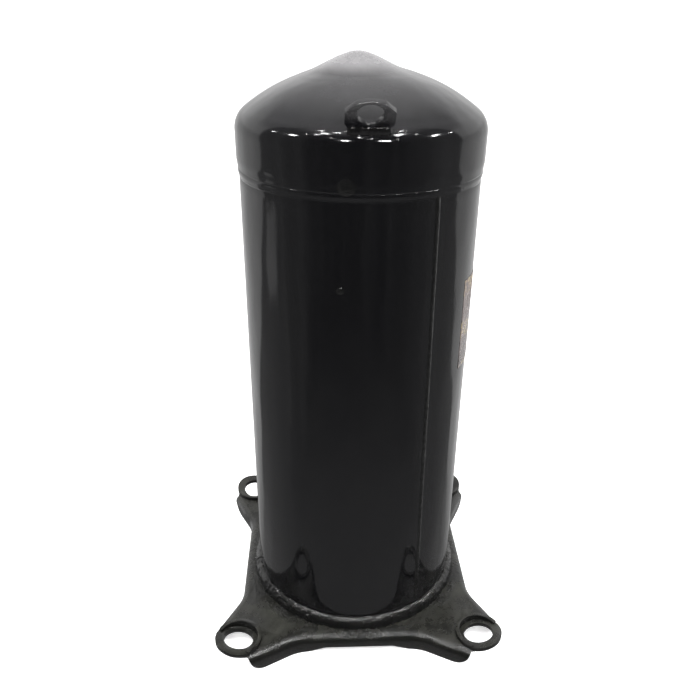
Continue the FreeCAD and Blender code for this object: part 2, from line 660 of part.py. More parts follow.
def oldham_ring():
    body = ring(OLDHAM_OUT, OLDHAM_IN, *OLDHAM_Z)
    keys = []
    for s in (-1, 1):
        keys.append(box(s * KEY_R - KEY_L / 2, s * KEY_R + KEY_L / 2, -KEY_W / 2, KEY_W / 2,
                        OLDHAM_Z[0] - KEY_H, OLDHAM_Z[0] + 1))
        keys.append(box(-KEY_W / 2, KEY_W / 2, s * KEY_R - KEY_L / 2, s * KEY_R + KEY_L / 2,
                        OLDHAM_Z[1] - 1, OLDHAM_Z[1] + KEY_H))
    return fused([body] + keys)


# ---------------------------------------------------------------- discharge side

def discharge_valve_disc():
    return cylinder(9.0, 338.02, 339.6)


def valve_retainer():
    plate = cylinder(10.9, 342.0, 343.9)
    vents = around(cylinder(2.4, 341, 345, 0, -6.6), 4)
    return plate.cut(group(vents))


def floating_seal():
    return revolve([(24.15, 337.4), (39.85, 337.4), (39.85, 351), (37, 353), (23, 353),
                    (21, 355.1), (18, 355.1), (16, 352), (16, 345.6), (24.15, 345.6)])


def muffler_plate():
    plate = revolve([(14, 356.4), (24, 356.4), (34, 363), (60, 363), (72, 357), (77.5, 353), (79.8, 353),
                     (79.8, 361.5), (78, 361.5), (63, 366.5), (32, 366.5), (22.5, 360), (14, 360)])
    return plate.cut(cylinder(6.05, 350, 380, 0, 48))


RELIEF = (0.0, 48.0)


def relief_valve_body():
    body = cylinder(8.2, 366.55, 378, *RELIEF).fuse(cylinder(6.0, 361, 367, *RELIEF))
    bore = cylinder(3.6, 362.5, 376, *RELIEF)
    seat = cylinder(1.8, 375, 379, *RELIEF)
    outlet = cylinder(2.4, 360, 363, *RELIEF)
    return body.cut(bore).cut(seat).cut(outlet).removeSplitter()


def relief_valve_poppet():
    return cylinder(3.3, 373.6, 375.95, *RELIEF)


def relief_valve_spring():
    coil_r, wire_r, low, high = 2.7, 0.45, 363.0, 373.05
    helix = Part.makeHelix((high - low) / 5, high - low, coil_r)
    start = V(coil_r, 0, 0)
    circle = Part.Wire(Part.makeCircle(wire_r, start, V(0, 1, 0)))
    spring = Part.Wire(helix.Edges).makePipeShell([circle], True, True)
    spring.translate(V(RELIEF[0], RELIEF[1], low))
    return spring


# ---------------------------------------------------------------- connections

def stub(out_r, socket_r, socket_l, in_r, start, tip, z, azimuth):
    pipe = along_y(out_r, start, tip, z)
    pipe = pipe.cut(along_y(in_r, start - 1, tip + 1, z))
    return turned(pipe.cut(along_y(socket_r, tip - socket_l, tip + 1, z)), azimuth)


def suction_stub():
    return stub(SUCTION_OUT_R, SUCTION_SOCKET_R, SUCTION_SOCKET_L, SUCTION_IN_R, 77, SUCTION_TIP,
                SUCTION_Z, SUCTION_AZ)


def discharge_stub():
    return stub(DISCHARGE_OUT_R, DISCHARGE_SOCKET_R, DISCHARGE_SOCKET_L, DISCHARGE_IN_R, 79,
                DISCHARGE_TIP, DISCHARGE_Z, DISCHARGE_AZ)


def stub_welds():
    def collar(out_r, surface_r, z, azimuth, blocker):
        bead = Part.makeTorus(out_r + 0.9, 2.0, V(0, -surface_r, z), V(0, -1, 0))
        bead = bead.cut(along_y(out_r + 0.05, 60, 130, z))
        return turned(bead, azimuth).cut(blocker)
    shell_block = cylinder(SHELL_R + 0.03, SUCTION_Z - 40, SUCTION_Z + 40)
    cap_block = cylinder(CAP_R + 0.03, DISCHARGE_Z - 40, CAP_KNUCKLE_Z).fuse(cap_outside())
    return group([collar(SUCTION_OUT_R, SHELL_R - 0.2, SUCTION_Z, SUCTION_AZ, shell_block),
                  collar(DISCHARGE_OUT_R, CAP_R - 0.2, DISCHARGE_Z, DISCHARGE_AZ, cap_block)])


def suction_baffle():
    sheet = ring(70.5, 69.0, 226, 259).common(box(-30, 30, -80, -50, 220, 264))
    feet = [box(s * 30 - 1.5, s * 30 + 1.5, -74, -62, 226, 259) for s in (-1, 1)]
    tabs = fused([sheet] + feet).common(cylinder(79.8, 220, 264))
    return turned(tabs, SUCTION_AZ)


def terminal_body():
    cup = along_y(17.0, 77, 85.5, TERMINAL_Z).fuse(along_y(20.0, 74, 77.2, TERMINAL_Z))
    cup = cup.cut(along_y(14.5, 80.5, 90, TERMINAL_Z))
    for angle in (90, 210, 330):
        cup = cup.cut(along_y(3.4, 70, 90, TERMINAL_Z + 8 * math.sin(math.radians(angle)),
                              8 * math.cos(math.radians(angle))))
    return turned(cup, TERMINAL_AZ)


def pin_places():
    return [(8 * math.cos(math.radians(a)), TERMINAL_Z + 8 * math.sin(math.radians(a)))
            for a in (90, 210, 330)]


def terminal_glass():
    beads = [along_y(3.35, 75.6, 82, z, x).cut(along_y(1.65, 70, 90, z, x)) for x, z in pin_places()]
    return turned(group(beads), TERMINAL_AZ)


def terminal_pins():
    return turned(group([along_y(1.6, 68, 96, z, x) for x, z in pin_places()]), TERMINAL_AZ)


def lead_block():
    block = along_y(13.0, 67, 73.5, TERMINAL_Z)
    for x, z in pin_places():
        block = block.cut(along_y(1.65, 60, 80, z, x))
    return turned(block, TERMINAL_AZ)


def motor_leads():
    """Three leads from the connector block, bending down onto the upper end turns."""
    leads = []
    for x, z in pin_places():
        bend = z - (CORE_Z[1] + TURNS_H) - 1.0
        path = Part.Wire([line((x, 66.95, z), (x, 64, z)),
                          arc((x, 64, z), (x, 64 - bend * math.sin(math.pi / 4), z - bend + bend
                                           * math.cos(math.pi / 4)), (x, 64 - bend, z - bend))])
        circle = Part.Wire(Part.makeCircle(1.4, V(x, 66.95, z), V(0, -1, 0)))
        leads.append(path.makePipeShell([circle], True, True))
    return group(leads)


def motor_protector():
    capsule = along_y(6.5, 48, 68, CORE_Z[1] + TURNS_H + 7.2)
    ends = [e for e in capsule.Edges if e.BoundBox.YLength < 0.01]
    return turned(capsule.makeFillet(2.0, ends), -60)


def terminal_fence():
    fence = along_y(FENCE_R, 70, FENCE_FACE, TERMINAL_Z).cut(
        along_y(FENCE_R - FENCE_WALL, 60, FENCE_FACE + 1, TERMINAL_Z))
    tab = box(-5, 5, -FENCE_FACE + 2, -FENCE_FACE + 3.6, TERMINAL_Z + 18, TERMINAL_Z + FENCE_R - 1)
    tab = tab.cut(along_y(2.1, 90, 110, TERMINAL_Z + 24))
    fence = fence.fuse(tab).cut(cylinder(SHELL_R + 0.03, TERMINAL_Z - 50, TERMINAL_Z + 50))
    outlet = box(20, FENCE_R + 3, -FENCE_FACE - 1, -88, TERMINAL_Z - 9, TERMINAL_Z + 9)
    return turned(fence.cut(outlet).removeSplitter(), TERMINAL_AZ)


def ground_screw():
    head = along_y(4.0, FENCE_FACE - 2 + 0.02, FENCE_FACE + 1.2, TERMINAL_Z + 24)
    shank = along_y(2.0, FENCE_FACE - 9, FENCE_FACE - 1.9, TERMINAL_Z + 24)
    slot = box(-5, 5, -FENCE_FACE - 2, -FENCE_FACE - 0.3, TERMINAL_Z + 23.5, TERMINAL_Z + 24.5)
    return turned(head.fuse(shank).cut(slot).removeSplitter(), TERMINAL_AZ)


def cover_gasket():
    seat = along_y(COVER_R, SHELL_R - 8, SHELL_R + 4.5, TERMINAL_Z).cut(
        along_y(FENCE_R + 0.15, 60, 120, TERMINAL_Z))
    return turned(seat.cut(cylinder(SHELL_R + 0.05, TERMINAL_Z - 60, TERMINAL_Z + 60)), TERMINAL_AZ)


def terminal_cover():
    cover = along_y(COVER_R, SHELL_R + 4.6, COVER_FACE, TERMINAL_Z)
    rim = [e for e in cover.Edges if e.BoundBox.YMax < -COVER_FACE + 0.01]
    cover = cover.makeFillet(5.0, rim)
    cover = cover.cut(along_y(COVER_R - COVER_WALL, 60, COVER_FACE - COVER_WALL, TERMINAL_Z))
    boss = Part.makeCylinder(CABLE_BOSS_R, 12, V(COVER_R - 7, -CABLE_Y, TERMINAL_Z), V(1, 0, 0))
    boss = boss.cut(along_y(COVER_R - COVER_WALL, 60, COVER_FACE - COVER_WALL, TERMINAL_Z))
    cover = cover.fuse(boss)
    entry = Part.makeCylinder(CABLE_R, 20, V(COVER_R - 14, -CABLE_Y, TERMINAL_Z), V(1, 0, 0))
    cover = cover.cut(entry).cut(cylinder(SHELL_R + 0.1, TERMINAL_Z - 60, TERMINAL_Z + 60))
    return turned(cover.removeSplitter(), TERMINAL_AZ)


def nameplate():
    half = 25.0
    plate = ring(SHELL_R + 0.35, SHELL_R + 0.05, 228, 296)
    wedge = prism([(0, 0), (-150 * math.sin(math.radians(half)), -150 * math.cos(math.radians(half))),
                   (0, -160), (150 * math.sin(math.radians(half)), -150 * math.cos(math.radians(half)))],
                  220, 300)
    return turned(plate.common(wedge), 58.0 + half)


def debris_magnet():
    return ring(14.0, 5.0, BOTTOM_LOW_Z + BOTTOM_WALL + 0.02, BOTTOM_LOW_Z + BOTTOM_WALL + 5, 40, 0)


PARTS = [
    base_plate, bottom_cap, shell_body, top_cap, cap_weld, base_weld, bottom_weld, plug_welds,
    lifting_lug, lug_weld, stator_core, stator_winding, rotor_core, rotor_end_rings,
    lower_counterweight, upper_counterweight, crankshaft, oil_gallery_plug, drive_bush, oil_pickup,
    lower_bearing_bracket, lower_bearing, thrust_washer, main_frame, main_bearing,
    orbiting_scroll, orbiting_tip_seal, orbiting_bearing, fixed_scroll, fixed_tip_seal,
    scroll_bolts, guide_sleeves, oldham_ring, discharge_valve_disc, valve_retainer, floating_seal,
    muffler_plate, relief_valve_body, relief_valve_poppet, relief_valve_spring, suction_stub,
    discharge_stub, stub_welds, suction_baffle, terminal_body, terminal_glass, terminal_pins,
    lead_block, motor_leads, motor_protector, terminal_fence, ground_screw, cover_gasket,
    terminal_cover, nameplate, debris_magnet,
]

os.makedirs("parts", exist_ok=True)
for make in PARTS:
    shape = make()
    shape.exportStep("parts/" + make.__name__ + ".step")
    print(make.__name__, len(shape.Solids), "valid" if shape.isValid() else "INVALID",
          round(shape.Volume / 1000, 2), "cm3")
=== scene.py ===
import json
import math

import bmesh
import bpy
from mathutils import Matrix, Vector, noise


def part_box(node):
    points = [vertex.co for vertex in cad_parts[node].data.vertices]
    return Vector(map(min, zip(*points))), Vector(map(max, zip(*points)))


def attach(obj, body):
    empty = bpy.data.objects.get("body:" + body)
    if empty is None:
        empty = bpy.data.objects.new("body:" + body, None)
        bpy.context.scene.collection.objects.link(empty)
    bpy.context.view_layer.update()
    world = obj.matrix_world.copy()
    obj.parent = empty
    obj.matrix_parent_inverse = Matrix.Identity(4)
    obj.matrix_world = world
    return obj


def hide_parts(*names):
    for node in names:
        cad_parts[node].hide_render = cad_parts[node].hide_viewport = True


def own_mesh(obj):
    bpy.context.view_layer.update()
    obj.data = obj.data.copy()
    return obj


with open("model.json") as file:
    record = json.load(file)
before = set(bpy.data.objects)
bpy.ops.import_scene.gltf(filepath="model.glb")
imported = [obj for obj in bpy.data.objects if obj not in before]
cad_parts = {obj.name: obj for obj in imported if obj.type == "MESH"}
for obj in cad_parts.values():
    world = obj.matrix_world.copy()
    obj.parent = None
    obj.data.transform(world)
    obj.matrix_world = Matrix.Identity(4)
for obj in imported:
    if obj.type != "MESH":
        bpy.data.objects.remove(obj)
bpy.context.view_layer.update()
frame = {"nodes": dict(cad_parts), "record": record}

NODES = frame["nodes"]
RECORD = frame["record"]
SLOT_OF = {s["node"]: s["material_slot"] for s in RECORD["subparts"]}
BODY_OF = {n: body for body, names in RECORD["behaviour"]["bodies"].items() for n in names}

MM = 0.001
FULL_TURN = 2 * math.pi


# ------------------------------------------------------------------ sizes read from the frame

def top_of(node):
    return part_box(node)[1].z


def radius_of(node):
    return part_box(node)[1].x


SHELL_R = radius_of("shell_body")
CAP_R = radius_of("top_cap")
PLATE_TOP = top_of("base_plate")
SHELL_TOP = top_of("shell_body")
SKIRT_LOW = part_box("top_cap")[0].z
CAP_TOP = top_of("top_cap")
WALL = 3.5 * MM


# ------------------------------------------------------------------ material helpers

class Graph:
    """A new material's node tree, with short calls for the nodes used here."""

    def __init__(self, name):
        self.material = bpy.data.materials.new(name)
        self.material.use_nodes = True
        self.tree = self.material.node_tree
        self.shader = self.tree.nodes["Principled BSDF"]
        self.place = self.tree.nodes.new("ShaderNodeTexCoord").outputs["Object"]

    def link(self, a, b):
        self.tree.links.new(a, b)

    def noise(self, scale, detail=4.0, rough=0.55, stretch=(1, 1, 1), distort=0.0):
        mapping = self.tree.nodes.new("ShaderNodeMapping")
        mapping.inputs["Scale"].default_value = stretch
        self.link(self.place, mapping.inputs["Vector"])
        node = self.tree.nodes.new("ShaderNodeTexNoise")
        node.inputs["Scale"].default_value = scale
        node.inputs["Detail"].default_value = detail
        node.inputs["Roughness"].default_value = rough
        node.inputs["Distortion"].default_value = distort
        self.link(mapping.outputs["Vector"], node.inputs["Vector"])
        return node.outputs["Fac"]

    def wave(self, scale, direction="Z", kind="BANDS", distortion=0.0):
        node = self.tree.nodes.new("ShaderNodeTexWave")
        node.wave_type = kind
        if kind == "BANDS":
            node.bands_direction = direction
        else:
            node.rings_direction = direction
        node.inputs["Scale"].default_value = scale
        node.inputs["Distortion"].default_value = distortion
        self.link(self.place, node.inputs["Vector"])
        return node.outputs["Fac"]

    def cells(self, scale):
        node = self.tree.nodes.new("ShaderNodeTexVoronoi")
        node.inputs["Scale"].default_value = scale
        self.link(self.place, node.inputs["Vector"])
        return node.outputs["Distance"]

    def spread(self, value, low, high, out_low=0.0, out_high=1.0):
        node = self.tree.nodes.new("ShaderNodeMapRange")
        node.inputs["From Min"].default_value = low
        node.inputs["From Max"].default_value = high
        node.inputs["To Min"].default_value = out_low
        node.inputs["To Max"].default_value = out_high
        self.link(value, node.inputs["Value"])
        return node.outputs["Result"]

    def math(self, operation, a, b):
        node = self.tree.nodes.new("ShaderNodeMath")
        node.operation = operation
        for socket, value in zip(node.inputs, (a, b)):
            if isinstance(value, (int, float)):
                socket.default_value = value
            else:
                self.link(value, socket)
        return node.outputs[0]

    def height(self):
        split = self.tree.nodes.new("ShaderNodeSeparateXYZ")
        self.link(self.place, split.inputs[0])
        return split.outputs["Z"]

    def radius(self):
        flat = self.tree.nodes.new("ShaderNodeVectorMath")
        flat.operation = "MULTIPLY"
        flat.inputs[1].default_value = (1, 1, 0)
        self.link(self.place, flat.inputs[0])
        length = self.tree.nodes.new("ShaderNodeVectorMath")
        length.operation = "LENGTH"
        self.link(flat.outputs[0], length.inputs[0])
        return length.outputs["Value"]

    def facing_up(self):
        geometry = self.tree.nodes.new("ShaderNodeNewGeometry")
        split = self.tree.nodes.new("ShaderNodeSeparateXYZ")
        self.link(geometry.outputs["Normal"], split.inputs[0])
        return split.outputs["Z"]

    def blend(self, factor, a, b):
        node = self.tree.nodes.new("ShaderNodeMix")
        node.data_type = "RGBA"
        for socket, value in ((node.inputs[0], factor), (node.inputs[6], a), (node.inputs[7], b)):
            if isinstance(value, (tuple, list)):
                socket.default_value = (*value, 1.0)[:4]
            elif isinstance(value, (int, float)):
                socket.default_value = value
            else:
                self.link(value, socket)
        return node.outputs[2]

    def bump(self, height, distance, strength=1.0, under=None):
        node = self.tree.nodes.new("ShaderNodeBump")
        node.inputs["Distance"].default_value = distance
        node.inputs["Strength"].default_value = strength
        self.link(height, node.inputs["Height"])
        if under is not None:
            self.link(under, node.inputs["Normal"])
        return node.outputs["Normal"]

    def set(self, socket, value):
        target = self.shader.inputs[socket]
        if isinstance(value, tuple):
            target.default_value = (*value, 1.0)
        elif isinstance(value, (int, float)):
            target.default_value = value
        else:
            self.link(value, target)


def black_paint(name, base, rough, dust, dust_colour=(0.16, 0.155, 0.13), peel=1.0,
                top_highlight_from=None, spatter_to=None):
    """Black enamel: orange peel, soft waves of the sheet under it, smears, and settled dust.
    Above a given height near the top, the colour turns light grey: a painted highlight standing for
    the ceiling's reflection on the cap's top, broken up by scuff-like noise. Out to the radius
    spatter_to the sheet carries weld spatter under clean, glossy paint."""
    g = Graph(name)
    smear = g.noise(38, 5, 0.62, stretch=(1, 1, 0.35))
    speck = g.noise(900, 2, 0.7)
    up = g.spread(g.facing_up(), 0.35, 1.0)
    settled = g.math("MULTIPLY", up, g.spread(smear, 0.35, 0.7))
    film = g.math("MULTIPLY", g.spread(smear, 0.45, 0.85), 0.10)
    amount = g.math("MULTIPLY", g.math("ADD", settled, film), dust)
    grains = g.math("MULTIPLY", amount, g.spread(speck, 0.3, 0.7, 0.55, 1.25))
    if spatter_to:
        near = g.spread(g.radius(), spatter_to - 6 * MM, spatter_to, 1.0, 0.0)
        patches = g.math("MULTIPLY", near, g.spread(g.noise(55, 4, 0.6), 0.38, 0.56))
        clean = g.math("SUBTRACT", 1.0, g.math("MULTIPLY", patches, 0.75))
        grains = g.math("MULTIPLY", grains, clean)
    colour = g.blend(grains, base, dust_colour)
    # painted highlight: the colour grows light grey towards the top, standing for the ceiling's
    # reflection there
    if top_highlight_from:
        highlight_breakup = g.noise(210, 6, 0.7, stretch=(1, 0.4, 1))
        painted_top_highlight = g.math("ADD", g.spread(g.height(), top_highlight_from - 20 * MM, top_highlight_from, 0.0, 0.20),
                      g.spread(g.height(), top_highlight_from, top_highlight_from + 6 * MM, 0.0, 0.75))
        painted_top_highlight = g.math("MULTIPLY", painted_top_highlight, g.spread(highlight_breakup, 0.3, 0.7, 0.85, 1.0))
        colour = g.blend(painted_top_highlight, colour, (0.24, 0.235, 0.24))
        grains = g.math("MAXIMUM", grains, g.math("MULTIPLY", painted_top_highlight, 0.25))
    g.set("Base Color", colour)
    g.set("Roughness", g.math("ADD", g.spread(smear, 0.3, 0.75, rough, rough * 1.7),
                              g.math("MULTIPLY", grains, 0.9)))
    g.set("IOR", 1.5)
    wavy = g.bump(g.noise(24, 2, 0.5, stretch=(1, 1, 0.4)), 1.4 * MM)
    if spatter_to:
        lumps = g.math("MULTIPLY", patches, g.spread(g.noise(300, 3, 0.65), 0.42, 0.7))
        wavy = g.bump(lumps, 0.8 * MM, 1.0, wavy)
    g.set("Normal", g.bump(g.noise(420, 2, 0.5), 0.03 * MM * peel, 1.0, wavy))
    return g.material


def darker(colour, share):
    return tuple(c * share for c in colour)


def metal(name, colour, rough, grain=300.0, grain_depth=0.02 * MM, stretch=(1, 1, 1)):
    """Bare or plated metal with a fine grain."""
    g = Graph(name)
    fine = g.noise(grain, 5, 0.6, stretch=stretch)
    broad = g.noise(30, 3, 0.5)
    g.set("Base Color", g.blend(g.spread(broad, 0.3, 0.7), colour, darker(colour, 0.75)))
    g.set("Metallic", 1.0)
    g.set("Roughness", g.spread(fine, 0.25, 0.75, rough * 0.8, rough * 1.25))
    g.set("Normal", g.bump(fine, grain_depth))
    return g.material


def cast(name, colour, rough=0.55):
    """Iron as it leaves the sand mould."""
    g = Graph(name)
    sand = g.noise(700, 4, 0.65)
    broad = g.noise(45, 3, 0.5)
    g.set("Base Color", g.blend(g.spread(broad, 0.3, 0.7), colour, darker(colour, 0.6)))
    g.set("Metallic", 0.85)
    g.set("Roughness", g.spread(sand, 0.3, 0.7, rough * 0.85, rough * 1.2))
    g.set("Normal", g.bump(sand, 0.18 * MM))
    return g.material


def turned_face(name, colour, rough=0.28):
    """Machined iron with the rings of a lathe tool."""
    g = Graph(name)
    rings = g.wave(420, "Z", "RINGS", 0.4)
    fine = g.noise(500, 4, 0.6)
    g.set("Base Color", g.blend(g.spread(fine, 0.3, 0.7), colour, darker(colour, 0.75)))
    g.set("Metallic", 1.0)
    g.set("Roughness", g.spread(rings, 0.0, 1.0, rough * 0.8, rough * 1.3))
    g.set("Normal", g.bump(rings, 0.02 * MM, 0.6, g.bump(fine, 0.01 * MM)))
    return g.material


def laminations(name, colour):
    """Stacked steel sheets with some rust."""
    g = Graph(name)
    sheets = g.wave(620, "Z")
    rust = g.noise(60, 5, 0.6)
    g.set("Base Color", g.blend(g.spread(rust, 0.45, 0.75), colour, (0.16, 0.11, 0.08)))
    g.set("Metallic", 0.9)
    g.set("Roughness", g.spread(rust, 0.3, 0.7, 0.32, 0.5))
    g.set("Normal", g.bump(sheets, 0.12 * MM))
    return g.material


def wound_copper(name, colour):
    """Varnished magnet wire, wound slantwise."""
    g = Graph(name)
    strands = g.wave(330, "DIAGONAL", "BANDS", 3.0)
    broad = g.noise(90, 3, 0.5)
    g.set("Base Color", g.blend(g.spread(strands, 0.2, 0.9), darker(colour, 0.45), colour))
    g.set("Metallic", 0.55)
    g.set("Roughness", g.spread(broad, 0.3, 0.7, 0.22, 0.4))
    g.set("Coat Weight", 0.5)
    g.set("Normal", g.bump(strands, 0.5 * MM))
    return g.material


def plastic(name, colour, rough, texture=900.0, depth=0.05 * MM):
    """Moulded plastic with a spark-eroded texture."""
    g = Graph(name)
    spark = g.noise(texture, 3, 0.6)
    broad = g.noise(40, 3, 0.5)
    faded = tuple(c * 1.35 + 0.004 for c in colour)
    g.set("Base Color", g.blend(g.spread(broad, 0.3, 0.7), colour, faded))
    g.set("Roughness", g.spread(spark, 0.3, 0.7, rough * 0.85, rough * 1.15))
    g.set("Normal", g.bump(spark, depth))
    return g.material


def rubber(name, colour):
    """Soft closed-cell foam rubber."""
    g = Graph(name)
    foam = g.cells(1400)
    g.set("Base Color", g.blend(g.spread(foam, 0.0, 0.6), darker(colour, 0.4), colour))
    g.set("Roughness", 0.85)
    g.set("Normal", g.bump(foam, 0.2 * MM))
    return g.material


def sealing_glass(name, colour):
    """The glass round a terminal pin."""
    g = Graph(name)
    swirl = g.noise(300, 4, 0.6)
    g.set("Base Color", g.blend(g.spread(swirl, 0.3, 0.7), colour, darker(colour, 0.6)))
    g.set("Roughness", 0.08)
    g.set("Transmission Weight", 0.35)
    g.set("Normal", g.bump(swirl, 0.04 * MM))
    return g.material


def woven_sleeve(name, colour):
    """Braided sleeve over a motor lead."""
    g = Graph(name)
    weave = g.wave(900, "DIAGONAL", "BANDS", 1.5)
    g.set("Base Color", g.blend(weave, darker(colour, 0.7), colour))
    g.set("Roughness", 0.8)
    g.set("Normal", g.bump(weave, 0.2 * MM))
    return g.material


def printed_film(name):
    """A plain label with wear: dull film with faint tinted marks and no lettering."""
    g = Graph(name)
    bars = g.wave(9, "Z", "BANDS", 6.0)
    blotch = g.noise(210, 5, 0.65)
    tint = g.blend(g.spread(blotch, 0.42, 0.58), (0.22, 0.15, 0.135), (0.24, 0.20, 0.11))
    mask = g.math("MULTIPLY", g.spread(bars, 0.6, 0.8), g.spread(blotch, 0.42, 0.55))
    stain = g.spread(g.noise(90, 4, 0.6), 0.35, 0.65)
    film = g.blend(stain, (0.09, 0.078, 0.076), (0.17, 0.145, 0.14))
    g.set("Base Color", g.blend(mask, film, tint))
    g.set("Roughness", g.spread(blotch, 0.3, 0.7, 0.16, 0.35))
    g.set("Normal", g.bump(blotch, 0.03 * MM))
    return g.material


INK = (0.0030, 0.0030, 0.0034)
MATERIALS = {
    "paint_shell": black_paint("paint_shell", INK, 0.05, 0.07),
    # the cap's paint carries a painted highlight, light grey, in its top 12 mm and the ramp below
    "paint_cap": black_paint("paint_cap", INK, 0.055, 0.07, (0.15, 0.145, 0.17),
                             top_highlight_from=CAP_TOP - 12 * MM),
    "paint_plate": black_paint("paint_plate", (0.006, 0.006, 0.0055), 0.16, 0.25,
                               (0.12, 0.12, 0.095), peel=4.0, spatter_to=99 * MM),
    "paint_weld": black_paint("paint_weld", (0.004, 0.004, 0.004), 0.05, 0.08, peel=20.0),
    "lamination": laminations("lamination", (0.34, 0.35, 0.37)),
    "magnet_wire": wound_copper("magnet_wire", (0.62, 0.25, 0.10)),
    "aluminium": metal("aluminium", (0.74, 0.74, 0.75), 0.38, 500, 0.05 * MM),
    "brass": metal("brass", (0.75, 0.57, 0.27), 0.25),
    "cast_iron": cast("cast_iron", (0.20, 0.20, 0.20)),
    "machined_iron": turned_face("machined_iron", (0.46, 0.46, 0.47)),
    "ground_steel": metal("ground_steel", (0.64, 0.64, 0.66), 0.14, 260, 0.008 * MM, (1, 1, 14)),
    "plated_steel": metal("plated_steel", (0.52, 0.52, 0.50), 0.30),
    "bearing_bronze": metal("bearing_bronze", (0.56, 0.37, 0.19), 0.36, 900, 0.03 * MM),
    "seal_plastic": plastic("seal_plastic", (0.07, 0.06, 0.05), 0.5),
    "black_steel": metal("black_steel", (0.06, 0.06, 0.065), 0.35),
    "copper_plate": metal("copper_plate", (0.76, 0.37, 0.22), 0.24, 350, 0.02 * MM, (1, 1, 6)),
    "terminal_glass": sealing_glass("terminal_glass", (0.08, 0.22, 0.27)),
    "block_plastic": plastic("block_plastic", (0.09, 0.09, 0.10), 0.45),
    "lead_sleeve": woven_sleeve("lead_sleeve", (0.72, 0.69, 0.58)),
    "protector_can": metal("protector_can", (0.56, 0.52, 0.42), 0.3),
    "screw_zinc": metal("screw_zinc", (0.30, 0.55, 0.33), 0.3),
    "gasket_rubber": rubber("gasket_rubber", (0.03, 0.03, 0.03)),
    "cover_plastic": plastic("cover_plastic", (0.022, 0.022, 0.024), 0.42, 1500, 0.08 * MM),
    "label_film": printed_film("label_film"),
    "ferrite": cast("ferrite", (0.10, 0.10, 0.10), 0.7),
}


# ------------------------------------------------------------------ mesh helpers

def finish_piece(obj, node, slot=None, body=None):
    """Gives a piece its finish and its body, and lets it stand for its CAD node."""
    slot_name = slot or SLOT_OF[node]
    obj.data.materials.clear()
    obj.data.materials.append(MATERIALS[slot_name])
    for polygon in obj.data.polygons:
        polygon.use_smooth = True
    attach(obj, body or BODY_OF[node])
    if node:
        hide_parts(node)
    return obj


def mesh_object(name, bm):
    mesh = bpy.data.meshes.new(name)
    bmesh.ops.recalc_face_normals(bm, faces=bm.faces)
    bm.to_mesh(mesh)
    bm.free()
    obj = bpy.data.objects.new(name, mesh)
    bpy.context.scene.collection.objects.link(obj)
    return obj


def lathe(profile, segments, shape=None):
    """Closed surface of revolution of a closed list of (radius, height) points.
    shape(point, angle, index) may move each point a little; index counts along the outline."""
    bm = bmesh.new()
    columns = []
    poles = {}
    for i in range(segments):
        angle = FULL_TURN * i / segments
        column = []
        for j, (r, z) in enumerate(profile):
            if r < 1e-7:
                if j not in poles:
                    poles[j] = bm.verts.new((0, 0, z))
                column.append(poles[j])
                continue
            point = Vector((r * math.sin(angle), -r * math.cos(angle), z))
            column.append(bm.verts.new(shape(point, angle, j) if shape else point))
        columns.append(column)
    if shape:
        for j, pole in poles.items():
            pole.co = shape(pole.co.copy(), 0.0, j)
    count = len(profile)
    for i in range(segments):
        a, b = columns[i], columns[(i + 1) % segments]
        for j in range(count):
            k = (j + 1) % count
            corners = []
            for vert in (a[j], b[j], b[k], a[k]):
                if vert not in corners:
                    corners.append(vert)
            if len(corners) > 2:
                bm.faces.new(corners)
    return bm


def spaced(a, b, count):
    """Points from a up to but not including b."""
    return [(a[0] + (b[0] - a[0]) * i / count, a[1] + (b[1] - a[1]) * i / count)
            for i in range(count)]


def arc_points(centre, radius, start, end, count):
    """Points on an arc from angle start up to but not including angle end."""
    return [(centre[0] + radius * math.cos(start + (end - start) * i / count),
             centre[1] + radius * math.sin(start + (end - start) * i / count)) for i in range(count)]


def dressed(node, bevel):
    """A copy of a CAD node with clean faces and softly rounded edges."""
    source = NODES[node]
    bm = bmesh.new()
    bm.from_mesh(source.data)
    bmesh.ops.remove_doubles(bm, verts=bm.verts, dist=0.002 * MM)
    bmesh.ops.dissolve_limit(bm, angle_limit=math.radians(1.2), verts=bm.verts, edges=bm.edges)
    obj = mesh_object(node + "_skin", bm)
    for polygon in obj.data.polygons:
        polygon.use_smooth = True
    modifier = obj.modifiers.new("round", "BEVEL")
    modifier.width = bevel
    modifier.segments = 2
    modifier.limit_method = "ANGLE"
    modifier.angle_limit = math.radians(28)
    modifier.harden_normals = True
    modifier.use_clamp_overlap = True
    apply_modifiers(obj)
    return finish_piece(obj, node)


def apply_modifiers(obj):
    graph = bpy.context.evaluated_depsgraph_get()
    mesh = bpy.data.meshes.new_from_object(obj.evaluated_get(graph))
    obj.modifiers.clear()
    old = obj.data
    obj.data = mesh
    bpy.data.meshes.remove(old)


# ------------------------------------------------------------------ casing

KNUCKLE_R = 16.2 * MM
CROWN_R = 128.5 * MM
KNUCKLE_Z = 391.1 * MM
TAPER_TOP = 374.0 * MM
LIP_R = CAP_R - 0.7 * MM
BOSS_X = -2.5 * MM
BOSS_SLOPE = 0.56
BOSS_ROUND = 11.0 * MM      # rounding of the boss's tip
BOSS_BLEND = 1.1 * MM       # softness of its meeting with the crown
BOSS_REACH = 40 * MM


def dome_profile(radius, knuckle, crown, low_z, steps):
    """Outline of the cap from its skirt's lower edge to its crown, without the boss."""
    centre_r = radius - knuckle
    centre_z = KNUCKLE_Z - math.sqrt((crown - knuckle) ** 2 - centre_r ** 2)
    meet = math.atan2(KNUCKLE_Z - centre_z, centre_r)
    points = spaced((radius, low_z), (radius, KNUCKLE_Z), 10)
    points += arc_points((centre_r, KNUCKLE_Z), knuckle, 0, meet, steps)
    points += arc_points((0, centre_z), crown, meet, math.pi / 2, steps * 2)
    return points + [(0.0, centre_z + crown)]


